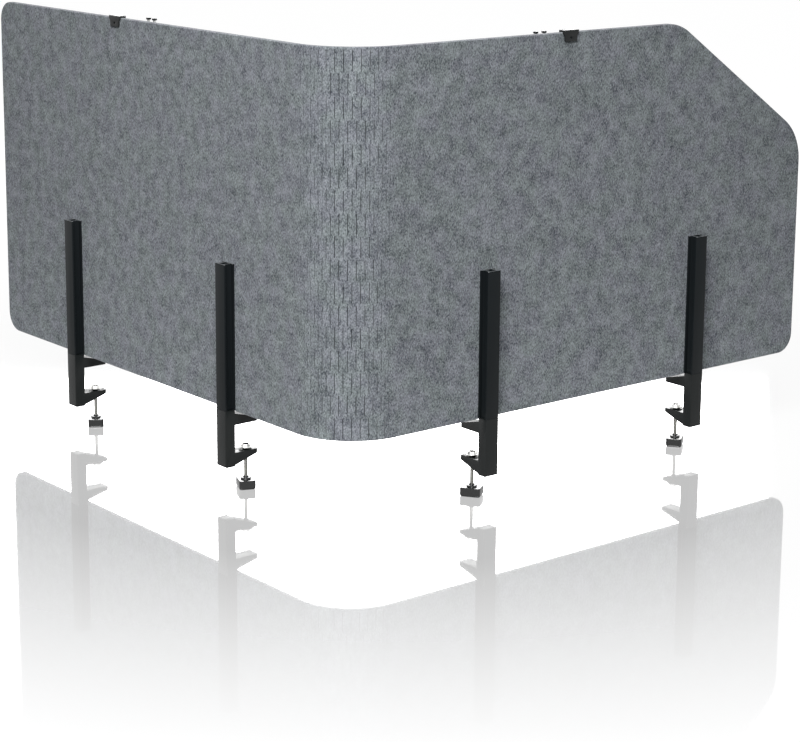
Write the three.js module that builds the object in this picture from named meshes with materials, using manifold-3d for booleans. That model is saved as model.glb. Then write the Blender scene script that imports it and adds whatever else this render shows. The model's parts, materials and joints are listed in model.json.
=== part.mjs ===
// Felt desk divider: two felt wings joined by a slit bend, held to a desk by four screw clamps on posts.
// Millimetres, +Z up. The right wing runs along +X, the left wing along +Y, and the desk fills the corner between
// them. Every post is built in its own frame: X along the felt, Y in towards the desk, Z up, with the felt's outer
// face at Y = 0.
import * as THREE from "three";
import { mergeVertices } from "three/addons/utils/BufferGeometryUtils.js";
import Module from "manifold-3d";

const wasm = await Module();
wasm.setup();

// Felt
const panelHeight = 600;
const panelLift = 135;
const feltThickness = 10;
const rightWingLength = 1015;
const leftWingLength = 995;
const panelCornerRadius = 33;
const chamferRun = 310;
const chamferDrop = 210;
const chamferCornerRadius = 90;

// Slit bend: staggered blind slits in the outer face, with a fold line at every second column
const bendRadius = 108;
const bendLead = 12.2;
const foldCount = 12;
const slitRows = 17;
const slitWidth = 1;
const slitDepth = 8.5;
const slitBridge = 2.5;
const slitEdge = 4;

// Clearances
const fitGap = 0.3;
const cutOverrun = 4;
const joinOverlap = 1;

// Post: a black extrusion with a front flange, a wider back flange, a groove down each side and a square chamber
const postWidth = 25.5;
const postDepth = 18.4;
const postTop = 375;
const postCornerRadius = 1.2;
const backFlangeWidth = 29;
const flangeThickness = 3.2;
const sideGroove = 4;
const chamberWall = 2.4;

// Clamp
const clampFoot = 43.5;
const clampShoulder = 137;
const clampFootRadius = 2;
const tongueLength = 30;
const jawReach = 45.5;
const jawCornerRadius = 5;
const jawTipRadius = 2;
const upperJawFace = 112;
const upperJawRoot = 19;
const upperJawTip = 7.5;
const lowerJawFace = 66;
const lowerJawRoot = 20.5;
const lowerJawTip = 6;

// Clamp screw
const screwAxis = 28.9;
const screwDiameter = 6;
const screwEndChamfer = 0.8;
const bushFlangeDiameter = 11;
const bushSleeveDiameter = 9;
const bushFlangeHeight = 1.8;
const bushSleeveLength = 8;
const padDiameter = 22;
const padBrim = 1.4;
const padCrownFootDiameter = 18;
const padCrownDiameter = 13.4;
const padHeight = 5.2;
const padFloor = 2.4;
const padCrownWall = 1.2;
const padSocketDepth = 1.2;

// Knob
const knobLength = 34;
const knobWidth = 27.5;
const knobHeight = 15;
const knobCornerRadius = 4.5;
const knobEdge = 1.6;
const hubDiameter = 17;
const hubHeight = 3;
const collarDiameter = 8.8;
const collarHeight = 1.8;
const knobFloor = 4;

// Fixing screws from the desk side, through the felt and into the post's chamber
const fixingDiameter = 4;
const fixingHeadDiameter = 9;
const fixingHeadHeight = 2.4;
const fixingHeadRim = 0.8;
const fixingProtrusion = 2;
const lowerFixingAbove = 55;
const upperFixingBelow = 35;

// Over-the-edge hook
const strapWidth = 26;
const strapDrop = 14.4;
const strapThickness = 2;
const strapCornerRadius = 2;
const flangeWidth = 33.5;
const flangeDrop = 1.5;
const flangeTaper = 3.5;
const bridgeThickness = 3;
const strapHoleDiameter = 4.4;
const strapHoleDrop = 8.6;
const legThickness = 1.6;
const legDrop = 56;
const bossDrop = 32;
const bossDepth = 12;
const bossCornerRadius = 3;
const prongSpacing = 18;
const prongDiameter = 5;
const prongDrop = 44;
const prongReach = 60.5;
const prongBend = 14;
const prongSeat = 8;
const capDiameter = 8.5;
const capLength = 4.8;
const capWall = 1.8;
const capTopDrop = 4.5;

// Smoothness of round stretches
const cornerSteps = 5;
const turnSteps = 20;
const smallTurnSteps = 12;
const prongSides = 10;
const prongSteps = 14;
const domeSteps = 3;
const knobEdgeSteps = 2;

// The posts' places as shares of their wing's length, and each knob's turn in degrees
const postShares = [
  { name: "left_outer", wing: "left", share: 0.749, knobTurn: -32.6 },
  { name: "left_inner", wing: "left", share: 0.286, knobTurn: -22.6 },
  { name: "right_inner", wing: "right", share: 0.286, knobTurn: -56.6 },
  { name: "right_outer", wing: "right", share: 0.744, knobTurn: 36 },
];
const hookShares = [
  { name: "left", wing: "left", share: 0.6114 },
  { name: "right", wing: "right", share: 0.4507 },
];

// Lengths that follow
const panelTop = panelLift + panelHeight;
const bendLength = bendRadius * (Math.PI / 2);
const columnPitch = (bendLength - 2 * bendLead) / (foldCount - 1);
const rowPitch = (panelHeight - 2 * slitEdge + slitBridge) / slitRows;
const slitLength = rowPitch - slitBridge;
const postBack = -fitGap;
const postFront = postBack - postDepth;
const coreHalfWidth = postWidth / 2 - sideGroove;
const chamberHalfWidth = coreHalfWidth - chamberWall;
const chamberFront = postFront + flangeThickness;
const chamberBack = postBack - chamberWall;
const bushTop = lowerJawFace + fitGap + bushFlangeHeight;
const padFoot = bushTop + fitGap;
const screwTop = padFoot + padSocketDepth - fitGap;
const screwFoot = knobFloor + fitGap;
const lowerFixingHeight = clampShoulder + lowerFixingAbove;
const upperFixingHeight = postTop - upperFixingBelow;
const strapFront = -fitGap - strapThickness;
const bridgeTop = fitGap + bridgeThickness;
const legFront = feltThickness + fitGap;
const legBack = legFront + legThickness;
const bossBack = legFront + bossDepth;
const prongTop = -capTopDrop - capWall - fitGap;
const wingLength = { left: leftWingLength, right: rightWingLength };

// Finishes
const finishes = {
  felt: new THREE.MeshStandardMaterial({ color: 0x6b6e72, roughness: 0.95, metalness: 0 }),
  anodised: new THREE.MeshStandardMaterial({ color: 0x25292b, roughness: 0.4, metalness: 0.6 }),
  coated: new THREE.MeshStandardMaterial({ color: 0x2a2c2c, roughness: 0.45, metalness: 0.2 }),
  zinc: new THREE.MeshStandardMaterial({ color: 0xb4b4b0, roughness: 0.32, metalness: 1 }),
  plastic: new THREE.MeshStandardMaterial({ color: 0x1d1f1f, roughness: 0.35, metalness: 0 }),
  blackScrew: new THREE.MeshStandardMaterial({ color: 0x202222, roughness: 0.4, metalness: 0.8 }),
};

// A solid for joining and cutting, from the positions alone.
function solid(geometry) {
  const bare = new THREE.BufferGeometry();
  const whole = geometry.index ? geometry.toNonIndexed() : geometry;
  bare.setAttribute("position", whole.getAttribute("position"));
  const merged = mergeVertices(bare);
  const vertProperties = merged.attributes.position.array;
  const triVerts = new Uint32Array(merged.index.array);
  return new wasm.Manifold(new wasm.Mesh({ numProp: 3, vertProperties, triVerts }));
}

function join(first, ...others) {
  return others.reduce((whole, next) => whole.add(next), first);
}

function cut(first, ...tools) {
  return tools.reduce((whole, tool) => whole.subtract(tool), first);
}

// A named mesh from a solid or a geometry.
function piece(name, shape, finish) {
  let geometry = shape;
  if (!shape.isBufferGeometry) {
    const { vertProperties, triVerts } = shape.getMesh();
    geometry = new THREE.BufferGeometry();
    geometry.setAttribute("position", new THREE.BufferAttribute(vertProperties, 3));
    geometry.setIndex(new THREE.BufferAttribute(triVerts, 1));
    geometry.computeVertexNormals();
  }
  const mesh = new THREE.Mesh(geometry, finishes[finish]);
  mesh.name = name;
  return mesh;
}

// An outline through corners [x, y, radius], given anticlockwise, with each corner rounded by an arc.
function roundedOutline(corners) {
  const points = corners.flatMap(([x, y, radius = 0], i) => {
    const before = corners[(i + corners.length - 1) % corners.length];
    const after = corners[(i + 1) % corners.length];
    const corner = new THREE.Vector2(x, y);
    if (radius === 0) return [corner];
    const back = new THREE.Vector2(before[0], before[1]).sub(corner);
    const on = new THREE.Vector2(after[0], after[1]).sub(corner);
    const room = Math.min(back.length(), on.length()) / 2;
    back.normalize();
    on.normalize();
    const half = Math.acos(back.dot(on)) / 2;
    const limited = Math.min(radius, room * Math.tan(half));
    const centre = back.clone().add(on).setLength(limited / Math.sin(half)).add(corner);
    const from = back.clone().setLength(limited / Math.tan(half)).add(corner).sub(centre);
    const sweep = (Math.PI - 2 * half) * Math.sign(on.cross(back));
    return Array.from({ length: cornerSteps + 1 }, (_, step) => {
      return from.clone().rotateAround(new THREE.Vector2(), (sweep * step) / cornerSteps).add(centre);
    });
  });
  return new THREE.Shape(points);
}

function rectangle(xLow, yLow, xHigh, yHigh, radius = 0) {
  return roundedOutline([
    [xLow, yLow, radius],
    [xHigh, yLow, radius],
    [xHigh, yHigh, radius],
    [xLow, yHigh, radius],
  ]);
}

// An outline in X and Y, raised from one height to another.
function raised(outline, low, high) {
  const settings = { depth: high - low, bevelEnabled: false };
  return new THREE.ExtrudeGeometry(outline, settings).translate(0, 0, low);
}

// An outline drawn in Y and Z, run along X from one place to another.
function across(outline, low, high) {
  const geometry = raised(outline, low, high);
  geometry.rotateZ(Math.PI / 2);
  return geometry.rotateY(Math.PI / 2);
}

// An outline drawn in X and Z, run along Y from one place to another.
function inward(outline, low, high) {
  return raised(outline, -high, -low).rotateX(Math.PI / 2);
}

// A turned piece standing on Z, from a profile of [radius, height] that runs upwards on its outside.
function turned(profile, steps = turnSteps) {
  const points = profile.map(([radius, height]) => new THREE.Vector2(radius, height));
  return new THREE.LatheGeometry(points, steps).rotateX(Math.PI / 2);
}

function rod(radius, low, high, steps = turnSteps) {
  return turned([[0, low], [radius, low], [radius, high], [0, high]], steps);
}

// The same rod lying along Y.
function crossRod(radius, low, high) {
  return rod(radius, low, high, smallTurnSteps).rotateX(-Math.PI / 2);
}

// Felt that is drawn flat, with s along its outer face and z up, and then bent round the corner.
function bendFelt(geometry) {
  const position = geometry.getAttribute("position");
  for (let i = 0; i < position.count; i += 1) {
    const s = position.getX(i);
    const z = position.getY(i);
    const depth = position.getZ(i);
    const along = Math.min(Math.max(s, 0), bendLength);
    const angle = along / bendRadius;
    const radius = bendRadius - depth;
    const straight = s - along;
    const x = bendRadius - radius * Math.sin(angle) - straight * Math.cos(angle);
    const y = bendRadius - radius * Math.cos(angle) + straight * Math.sin(angle);
    position.setXYZ(i, x, y, z);
  }
  return geometry;
}

const columnAt = (i) => bendLead + i * columnPitch;
const rowTop = (row) => panelTop - slitEdge - row * rowPitch;

// Every second slit down the line at s, cut into the felt from its outer face.
function slitsAt(s, firstRow) {
  const slits = [];
  for (let row = firstRow; row < slitRows; row += 2) {
    const top = rowTop(row);
    const outline = rectangle(s - slitWidth / 2, top - slitLength, s + slitWidth / 2, top);
    slits.push(solid(bendFelt(raised(outline, -cutOverrun, slitDepth))));
  }
  return slits;
}

// The first row's slits lie half way between the fold lines, the second row's on them, and so on in turn.
function bendStrip(i) {
  const outline = rectangle(columnAt(i) + fitGap / 2, panelLift, columnAt(i + 1) - fitGap / 2, panelTop);
  const strip = solid(bendFelt(raised(outline, 0, feltThickness)));
  const middle = (columnAt(i) + columnAt(i + 1)) / 2;
  return cut(strip, ...slitsAt(columnAt(i), 1), ...slitsAt(middle, 0), ...slitsAt(columnAt(i + 1), 1));
}

// Takes a post's or hook's own frame to its place on a wing.
function stationFrame(wing, along) {
  const turn = wing === "left" ? -Math.PI / 2 : 0;
  const frame = new THREE.Matrix4().makeRotationZ(turn);
  return wing === "left" ? frame.setPosition(0, along, 0) : frame.setPosition(along, 0, 0);
}

// The felt between a wing's straight stretch and its first fold line, with a short overlap into the straight.
function bendStart(wing) {
  const fold = columnAt(wing === "right" ? 0 : foldCount - 1);
  const places = wing === "right"
    ? [-joinOverlap, 0, fold - fitGap / 2]
    : [bendLength + joinOverlap, bendLength, fold + fitGap / 2];
  const lower = places.map((s) => new THREE.Vector2(s, panelLift));
  const upper = places.map((s) => new THREE.Vector2(s, panelTop)).reverse();
  const outline = new THREE.Shape([...lower, ...upper]);
  return cut(solid(bendFelt(raised(outline, 0, feltThickness))), ...slitsAt(fold, 1));
}

// A wing: its straight stretch and its start of the bend, pierced for the posts' fixing screws.
function wingFelt(wing) {
  const length = wingLength[wing];
  const chamfer = [
    [length, panelTop - chamferDrop, chamferCornerRadius],
    [length - chamferRun, panelTop, chamferCornerRadius],
  ];
  const square = [[length, panelTop, panelCornerRadius]];
  const outline = roundedOutline([
    [bendRadius, panelLift],
    [length, panelLift, panelCornerRadius],
    ...(wing === "right" ? chamfer : square),
    [bendRadius, panelTop],
  ]);
  const plate = wing === "right" ? inward(outline, 0, feltThickness) : across(outline, 0, feltThickness);
  const holes = postShares
    .filter((post) => post.wing === wing)
    .flatMap((post) => [lowerFixingHeight, upperFixingHeight].map((height) => {
      const hole = crossRod(fixingDiameter / 2 + fitGap, -cutOverrun, feltThickness + cutOverrun);
      hole.translate(0, 0, height);
      return solid(hole.applyMatrix4(stationFrame(wing, post.share * length)));
    }));
  return cut(join(solid(plate), bendStart(wing)), ...holes);
}

// The extrusion: two flanges with grooves between them, and a chamber that takes the clamp's tongue from below.
function post() {
  const half = postWidth / 2;
  const backHalf = backFlangeWidth / 2;
  const outline = roundedOutline([
    [-half, postFront, postCornerRadius],
    [half, postFront, postCornerRadius],
    [half, chamberFront],
    [coreHalfWidth, chamberFront],
    [coreHalfWidth, chamberBack],
    [backHalf, chamberBack],
    [backHalf, postBack],
    [-backHalf, postBack],
    [-backHalf, chamberBack],
    [-coreHalfWidth, chamberBack],
    [-coreHalfWidth, chamberFront],
    [-half, chamberFront],
  ]);
  const extrusion = solid(raised(outline, clampShoulder + fitGap, postTop));
  const section = rectangle(-chamberHalfWidth, chamberFront, chamberHalfWidth, chamberBack);
  const chamber = solid(raised(section, clampShoulder - cutOverrun, postTop + cutOverrun));
  const holes = [lowerFixingHeight, upperFixingHeight].map((height) => {
    const hole = crossRod(fixingDiameter / 2 + fitGap, chamberBack - joinOverlap, postBack + joinOverlap);
    return solid(hole.translate(0, 0, height));
  });
  return cut(extrusion, chamber, ...holes);
}

// The clamp: a block of the post's section with two jaws, a tongue on top and a bore for the bush.
function clampBody() {
  const half = postWidth / 2;
  const side = roundedOutline([
    [postFront, clampFoot, clampFootRadius],
    [postBack, clampFoot],
    [postBack, lowerJawFace - lowerJawRoot],
    [jawReach, lowerJawFace - lowerJawTip, jawTipRadius],
    [jawReach, lowerJawFace],
    [postBack, lowerJawFace],
    [postBack, upperJawFace],
    [jawReach, upperJawFace, jawTipRadius],
    [jawReach, upperJawFace + upperJawTip],
    [postBack, upperJawFace + upperJawRoot],
    [postBack, clampShoulder],
    [postFront, clampShoulder],
  ]);
  const plan = roundedOutline([
    [-half, postFront, postCornerRadius],
    [half, postFront, postCornerRadius],
    [half, jawReach, jawCornerRadius],
    [-half, jawReach, jawCornerRadius],
  ]);
  const block = solid(across(side, -half - cutOverrun, half + cutOverrun));
  const shaped = block.intersect(solid(raised(plan, clampFoot - cutOverrun, clampShoulder + cutOverrun)));
  const tongueHalf = chamberHalfWidth - fitGap;
  const section = rectangle(-tongueHalf, chamberFront + fitGap, tongueHalf, chamberBack - fitGap);
  const tongue = solid(raised(section, clampShoulder - joinOverlap, clampShoulder + tongueLength));
  const bore = rod(bushSleeveDiameter / 2 + fitGap, clampFoot, lowerJawFace + cutOverrun);
  return cut(join(shaped, tongue), solid(bore.translate(0, screwAxis, 0)));
}

// The flanged bush that the screw turns in.
function bush() {
  const bore = screwDiameter / 2 + fitGap;
  const seat = lowerJawFace + fitGap;
  return turned([
    [bore, seat - bushSleeveLength],
    [bushSleeveDiameter / 2, seat - bushSleeveLength],
    [bushSleeveDiameter / 2, seat],
    [bushFlangeDiameter / 2, seat],
    [bushFlangeDiameter / 2, bushTop],
    [bore, bushTop],
    [bore, seat - bushSleeveLength],
  ]);
}

// The pad that presses on the desk: a brim, a crown with a dished top, and a socket below for the screw's end.
function pressurePad() {
  const socket = screwDiameter / 2 + fitGap;
  const crown = padCrownDiameter / 2;
  return turned([
    [0, padFoot + padSocketDepth],
    [socket, padFoot + padSocketDepth],
    [socket, padFoot],
    [padDiameter / 2, padFoot],
    [padDiameter / 2, padFoot + padBrim],
    [padCrownFootDiameter / 2, padFoot + padBrim],
    [crown, padFoot + padHeight],
    [crown - padCrownWall, padFoot + padHeight],
    [crown - padCrownWall, padFoot + padFloor],
    [0, padFoot + padFloor],
  ]);
}

function clampScrew() {
  const radius = screwDiameter / 2;
  return turned([
    [0, screwFoot],
    [radius - screwEndChamfer, screwFoot],
    [radius, screwFoot + screwEndChamfer],
    [radius, screwTop - screwEndChamfer],
    [radius - screwEndChamfer, screwTop],
    [0, screwTop],
  ]);
}

// The knob: a block with eased edges, a round hub and a collar, bored from above for the screw.
function knob() {
  const halfLength = knobLength / 2 - knobEdge;
  const halfWidth = knobWidth / 2 - knobEdge;
  const outline = rectangle(-halfLength, -halfWidth, halfLength, halfWidth, knobCornerRadius - knobEdge);
  const block = new THREE.ExtrudeGeometry(outline, {
    depth: knobHeight - 2 * knobEdge,
    bevelThickness: knobEdge,
    bevelSize: knobEdge,
    bevelSegments: knobEdgeSteps,
  });
  const hubTop = knobHeight + hubHeight;
  const hub = turned([
    [0, knobHeight - joinOverlap],
    [hubDiameter / 2, knobHeight - joinOverlap],
    [hubDiameter / 2, hubTop],
    [collarDiameter / 2, hubTop],
    [collarDiameter / 2, hubTop + collarHeight],
    [0, hubTop + collarHeight],
  ]);
  const bore = rod(screwDiameter / 2 + fitGap, knobFloor, hubTop + collarHeight + cutOverrun);
  return cut(join(solid(block.translate(0, 0, knobEdge)), solid(hub)), solid(bore));
}

// A pan-head screw along Y, its head on the desk side of the felt.
function fixingScrew() {
  const tip = chamberBack - fixingProtrusion;
  const seat = feltThickness + fitGap;
  return turned([
    [0, tip],
    [fixingDiameter / 2, tip],
    [fixingDiameter / 2, seat],
    [fixingHeadDiameter / 2, seat],
    [fixingHeadDiameter / 2, seat + fixingHeadRim],
    [fixingDiameter / 2, seat + fixingHeadHeight],
    [0, seat + fixingHeadHeight],
  ], smallTurnSteps).rotateX(-Math.PI / 2);
}

// The hook's clip: a strap on the outer face, a bridge over the felt's top edge and a leg behind it with a boss for
// the prongs. A hook's own frame stands on the felt's top edge.
function hookClip() {
  const halfStrap = strapWidth / 2;
  const halfFlange = flangeWidth / 2;
  const face = roundedOutline([
    [-halfStrap, -strapDrop, strapCornerRadius],
    [halfStrap, -strapDrop, strapCornerRadius],
    [halfStrap, -flangeDrop - flangeTaper],
    [halfFlange, -flangeDrop],
    [halfFlange, bridgeTop],
    [-halfFlange, bridgeTop],
    [-halfFlange, -flangeDrop],
    [-halfStrap, -flangeDrop - flangeTaper],
  ]);
  const side = roundedOutline([
    [strapFront, fitGap],
    [legFront, fitGap],
    [legFront, -legDrop],
    [bossBack, -legDrop, bossCornerRadius],
    [bossBack, -bossDrop, bossCornerRadius],
    [legBack, -bossDrop],
    [legBack, bridgeTop],
    [strapFront, bridgeTop],
  ]);
  const strap = solid(inward(face, strapFront, -fitGap));
  const leg = solid(across(side, -halfStrap, halfStrap));
  const hole = crossRod(strapHoleDiameter / 2, strapFront - cutOverrun, cutOverrun);
  const seats = [-prongSpacing / 2, prongSpacing / 2].map((x) => {
    const seat = crossRod(prongDiameter / 2 + fitGap, bossBack - prongSeat, bossBack + cutOverrun);
    return solid(seat.translate(x, 0, -prongDrop));
  });
  return cut(join(strap, leg), solid(hole.translate(0, 0, -strapHoleDrop)), ...seats);
}

// One prong: out of the leg, away from the felt and up at its end.
function hookProng() {
  const start = bossBack - prongSeat + fitGap;
  const reach = feltThickness + prongReach;
  const path = new THREE.CurvePath();
  const bendFrom = new THREE.Vector3(0, reach - prongBend, -prongDrop);
  const bendTo = new THREE.Vector3(0, reach, prongBend - prongDrop);
  path.add(new THREE.LineCurve3(new THREE.Vector3(0, start, -prongDrop), bendFrom));
  path.add(new THREE.QuadraticBezierCurve3(bendFrom, new THREE.Vector3(0, reach, -prongDrop), bendTo));
  path.add(new THREE.LineCurve3(bendTo, new THREE.Vector3(0, reach, prongTop)));
  const section = Array.from({ length: prongSides }, (_, i) => {
    const angle = (i / prongSides) * 2 * Math.PI;
    return new THREE.Vector2(Math.cos(angle), Math.sin(angle)).multiplyScalar(prongDiameter / 2);
  });
  return new THREE.ExtrudeGeometry(new THREE.Shape(section), { steps: prongSteps, extrudePath: path });
}

// The rounded cap on a prong's end.
function prongCap() {
  const radius = capDiameter / 2;
  const foot = -capTopDrop - capLength;
  const shoulder = -capTopDrop - radius;
  const dome = Array.from({ length: domeSteps }, (_, i) => {
    const angle = (i / domeSteps) * (Math.PI / 2);
    return [radius * Math.cos(angle), shoulder + radius * Math.sin(angle)];
  });
  const profile = [[0, foot], [radius, foot], ...dome, [0, -capTopDrop]];
  const outside = solid(turned(profile, smallTurnSteps));
  const bore = rod(prongDiameter / 2 + fitGap, foot - cutOverrun, -capTopDrop - capWall, smallTurnSteps);
  return cut(outside, solid(bore));
}

const divider = new THREE.Group();

// The felt corner stands at the origin until the whole is centred over its own outline.
const assembly = new THREE.Group();
assembly.position.set(-(rightWingLength + postFront) / 2, -(leftWingLength + postFront) / 2, 0);
divider.add(assembly);

assembly.add(piece("felt_panel_right", wingFelt("right"), "felt"));
assembly.add(piece("felt_panel_left", wingFelt("left"), "felt"));
for (let i = 0; i < foldCount - 1; i += 1) {
  const number = String(i + 1).padStart(2, "0");
  assembly.add(piece(`felt_bend_strip_${number}`, bendStrip(i), "felt"));
}

// A group at a post's or hook's place, raised to the height that its frame starts from.
function station(wing, share, height) {
  const group = new THREE.Group();
  group.applyMatrix4(stationFrame(wing, share * wingLength[wing]));
  group.position.z = height;
  assembly.add(group);
  return group;
}

const clampPieces = [
  ["post", post(), "anodised"],
  ["clamp", clampBody(), "coated"],
];
const screwPieces = [
  ["bush", bush(), "plastic"],
  ["pressure_pad", pressurePad(), "zinc"],
  ["clamp_screw", clampScrew(), "zinc"],
];
const knobSolid = knob();
const fixingHeights = { lower: lowerFixingHeight, upper: upperFixingHeight };

for (const { name, wing, share, knobTurn } of postShares) {
  const stand = station(wing, share, 0);
  for (const [kind, shape, finish] of clampPieces) stand.add(piece(`${kind}_${name}`, shape, finish));
  const axis = new THREE.Group();
  axis.position.y = screwAxis;
  for (const [kind, shape, finish] of screwPieces) axis.add(piece(`${kind}_${name}`, shape, finish));
  const grip = piece(`knob_${name}`, knobSolid, "plastic");
  grip.rotation.z = THREE.MathUtils.degToRad(knobTurn);
  axis.add(grip);
  stand.add(axis);
  for (const [level, height] of Object.entries(fixingHeights)) {
    const screw = piece(`fixing_screw_${level}_${name}`, fixingScrew(), "blackScrew");
    screw.position.z = height;
    stand.add(screw);
  }
}

for (const { name, wing, share } of hookShares) {
  const hook = station(wing, share, panelTop);
  hook.add(piece(`hook_clip_${name}`, hookClip(), "plastic"));
  for (const [side, x] of [["a", -prongSpacing / 2], ["b", prongSpacing / 2]]) {
    const prong = piece(`hook_prong_${side}_${name}`, hookProng(), "zinc");
    prong.position.x = x;
    hook.add(prong);
    const cap = piece(`prong_cap_${side}_${name}`, prongCap(), "plastic");
    cap.position.set(x, feltThickness + prongReach, 0);
    hook.add(cap);
  }
}

export default divider;
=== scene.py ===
# %% [markdown]
# A felt desk divider
#
# The real object is one sheet of stiff grey felt, bent round the corner of a desk. Four black posts hold it up from
# outside, each post ends in a clamp that grips the desk top, and two hooks sit over its top edge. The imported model
# already says where every piece is and how it moves. This script gives each piece its finished surface, and it starts
# by loading that model, so that nothing has to be placed by eye.

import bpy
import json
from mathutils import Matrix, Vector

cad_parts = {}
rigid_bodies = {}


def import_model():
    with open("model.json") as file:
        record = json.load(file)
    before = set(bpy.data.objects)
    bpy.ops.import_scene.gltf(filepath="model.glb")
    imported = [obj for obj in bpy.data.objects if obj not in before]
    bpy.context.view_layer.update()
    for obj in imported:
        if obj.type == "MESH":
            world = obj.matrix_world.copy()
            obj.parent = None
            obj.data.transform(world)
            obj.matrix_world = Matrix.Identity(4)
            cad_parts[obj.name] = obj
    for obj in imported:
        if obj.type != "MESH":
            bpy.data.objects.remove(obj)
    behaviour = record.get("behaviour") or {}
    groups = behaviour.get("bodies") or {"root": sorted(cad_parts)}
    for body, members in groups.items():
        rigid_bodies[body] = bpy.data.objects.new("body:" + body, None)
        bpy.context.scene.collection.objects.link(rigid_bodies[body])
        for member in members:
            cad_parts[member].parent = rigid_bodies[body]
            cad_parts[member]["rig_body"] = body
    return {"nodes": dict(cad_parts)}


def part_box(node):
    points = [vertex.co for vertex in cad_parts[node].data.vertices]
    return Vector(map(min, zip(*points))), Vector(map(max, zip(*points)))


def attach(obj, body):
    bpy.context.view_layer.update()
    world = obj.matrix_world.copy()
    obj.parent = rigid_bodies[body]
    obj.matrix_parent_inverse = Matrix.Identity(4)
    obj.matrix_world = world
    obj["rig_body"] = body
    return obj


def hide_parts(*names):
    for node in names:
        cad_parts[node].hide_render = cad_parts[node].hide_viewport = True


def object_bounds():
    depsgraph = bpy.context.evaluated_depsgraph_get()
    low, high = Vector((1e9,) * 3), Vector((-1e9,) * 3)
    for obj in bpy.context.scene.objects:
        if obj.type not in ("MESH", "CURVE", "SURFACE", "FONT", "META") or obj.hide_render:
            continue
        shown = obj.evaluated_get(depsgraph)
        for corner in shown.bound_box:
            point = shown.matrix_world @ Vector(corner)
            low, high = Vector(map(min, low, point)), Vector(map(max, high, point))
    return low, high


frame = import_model()
cad_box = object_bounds()
print("packed model, lowest and highest corner:", [tuple(round(x, 4) for x in corner) for corner in cad_box])

# %% Modules and units
import json
import math

import bmesh
import bpy
from mathutils import Matrix, Vector

MM = 0.001

# %% [markdown]
# The camera comes first, because every later choice is judged through it. A photograph of a large flat object shows
# its lens in the way that the parallel edges run together. Here a long lens stands about four metres away, a little
# higher than the object, and looks at the outer corner. Its place is given from the corner where the two outer felt
# faces would meet. The picture leaves more room below the object than above it, and a small vertical shift does that,
# so that the camera need not tip further down.

# %% Camera
OUTER_CORNER = Vector((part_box("felt_panel_left")[0].x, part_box("felt_panel_right")[0].y, 0))
IMAGE_WIDTH = 800
CAMERA_FROM_CORNER = Vector((-1.9448, -2.5322, 1.0849))
CAMERA_HEADING = math.radians(39.132)
CAMERA_DROP = math.radians(11.658)
CAMERA_ROLL = math.radians(0.41)
FOCAL_PIXELS = 2212.2
SHIFT_PIXELS = -111


def camera_turn(heading, drop, roll):
    """The camera's axes as columns: heading clockwise from +Y, drop below the horizon, roll about the view."""
    ahead = Vector((math.sin(heading) * math.cos(drop), math.cos(heading) * math.cos(drop), -math.sin(drop)))
    level = Vector((math.cos(heading), -math.sin(heading), 0))
    upright = level.cross(ahead)
    right = math.cos(roll) * level + math.sin(roll) * upright
    return Matrix((right, ahead.cross(right) * -1, -ahead)).transposed()


camera = bpy.data.objects.new("camera", bpy.data.cameras.new("camera"))
bpy.context.scene.collection.objects.link(camera)
camera_place = Matrix.Translation(OUTER_CORNER + CAMERA_FROM_CORNER)
camera.matrix_world = camera_place @ camera_turn(CAMERA_HEADING, CAMERA_DROP, CAMERA_ROLL).to_4x4()
camera.data.lens = FOCAL_PIXELS / IMAGE_WIDTH * camera.data.sensor_width
camera.data.shift_y = SHIFT_PIXELS / IMAGE_WIDTH
bpy.context.scene.camera = camera
print("lens", round(camera.data.lens, 2), "mm")

# %% [markdown]
# Every finish is a node material. Each one starts from what the real surface is made of. Colours are written as sRGB
# hex values, the way a colour picker shows them, and turned to the linear values that the renderer works with. One
# function adds a node, so that each material below reads as a short list of what happens on that surface.

# %% Colours and nodes
MIX_A, MIX_B, MIX_RESULT = 6, 7, 2


def linear(hex_colour):
    """An sRGB hex colour as the linear red, green, blue and alpha that a shader takes."""
    shares = [int(hex_colour[i:i + 2], 16) / 255 for i in (1, 3, 5)]
    return (*[c / 12.92 if c <= 0.04045 else ((c + 0.055) / 1.055) ** 2.4 for c in shares], 1.0)


def add(tree, kind, settings, inputs):
    """Adds a node with its settings, each input being a value or another node's output socket."""
    node = tree.nodes.new(kind)
    for name, value in settings.items():
        setattr(node, name, value)
    for name, value in inputs.items():
        if isinstance(value, bpy.types.NodeSocket):
            tree.links.new(value, node.inputs[name])
        else:
            node.inputs[name].default_value = value
    return node


def new_material(name):
    material = bpy.data.materials.new(name)
    material.use_nodes = True
    material.node_tree.nodes.clear()
    return material, material.node_tree


# %% [markdown]
# The sheet is PET felt: polyester fibres, dark, mid and light, needled into a stiff mat and pressed. To the eye it is a
# heather grey with hardly any gloss and a soft fuzz. Three sizes of pattern make the heather. The fibres are some 0.03
# mm thick, far too fine to show from four metres, so they are drawn coarser, as streaks 1.5 mm wide that cross. Between
# them lie tufts, lighter and darker. Over both drift clouds about 20 mm wide, where the mix of fibres is not even.

# %% PET felt
STREAK_LENGTH = 3.6 * MM
STREAK_WIDTH = 1.5 * MM
TUFT = 2.4 * MM
CLOUD = 20 * MM
TINT_PATCH = 34 * MM
FUZZ_GRAIN = 0.9 * MM
FUZZ_RELIEF = 0.5 * MM
STREAK_SLANTS = (55, -50)
CLOUD_WEIGHT = 0.6
STREAK_WEIGHT = 0.9
DARKEST, LIGHTEST = 1.32, 2.08
TINT_RANGE = {"From Min": 0.38, "From Max": 0.62}
FELT_DARK_VIOLET = "#3e424b"
FELT_DARK_GREEN = "#3e4448"
FELT_LIGHT_VIOLET = "#9da1a8"
FELT_LIGHT_GREEN = "#9ba3a5"


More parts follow.
